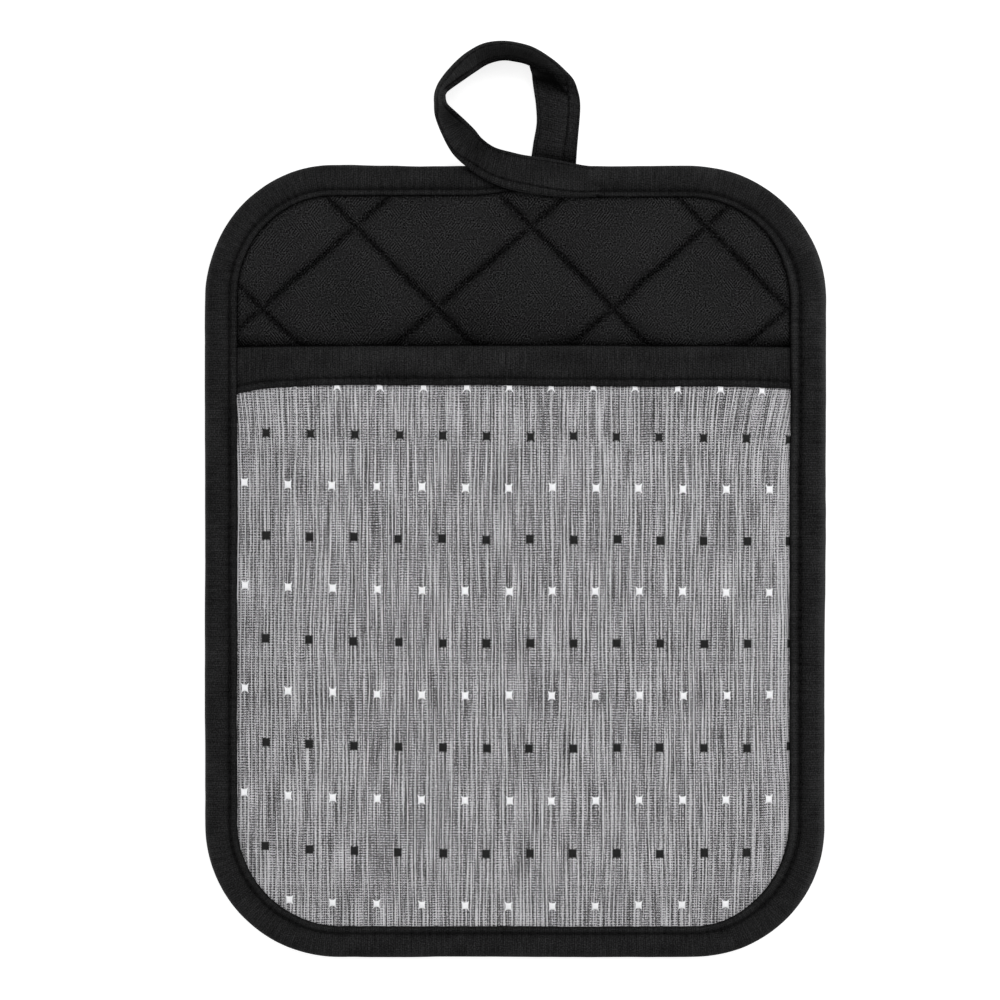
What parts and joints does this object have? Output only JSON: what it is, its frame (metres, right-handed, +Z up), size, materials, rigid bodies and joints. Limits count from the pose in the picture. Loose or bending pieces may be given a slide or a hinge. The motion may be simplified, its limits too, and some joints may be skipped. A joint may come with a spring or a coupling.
{
  "type": "pocket pot holder",
  "caption": "Quilted rectangular pot holder with rounded corners, a hand pocket over its lower part, a bound edge and a hanging loop.",
  "frame": {"origin": "under the middle of the whole object's box, the hanging loop included, on the surface it lies on", "axes": "+Y towards the hanging loop, along the length; +Z up, out of the pocket's face; +X to the right seen from above"},
  "size_m": [0.1786, 0.2637, 0.0156],
  "materials": {
    "black_cotton": "matt black woven cotton, quilted in diamonds over wadding",
    "grey_chambray": "grey slub chambray with small woven black and white dots",
    "black_tape": "black cotton tape folded double and stitched along its edge"
  },
  "bodies": {
    "root": {"quilted_pad": "black_cotton", "pocket_panel": "grey_chambray", "pocket_band": "black_tape", "edge_binding": "black_tape", "hanging_loop": "black_tape"}
  },
  "joints": []
}
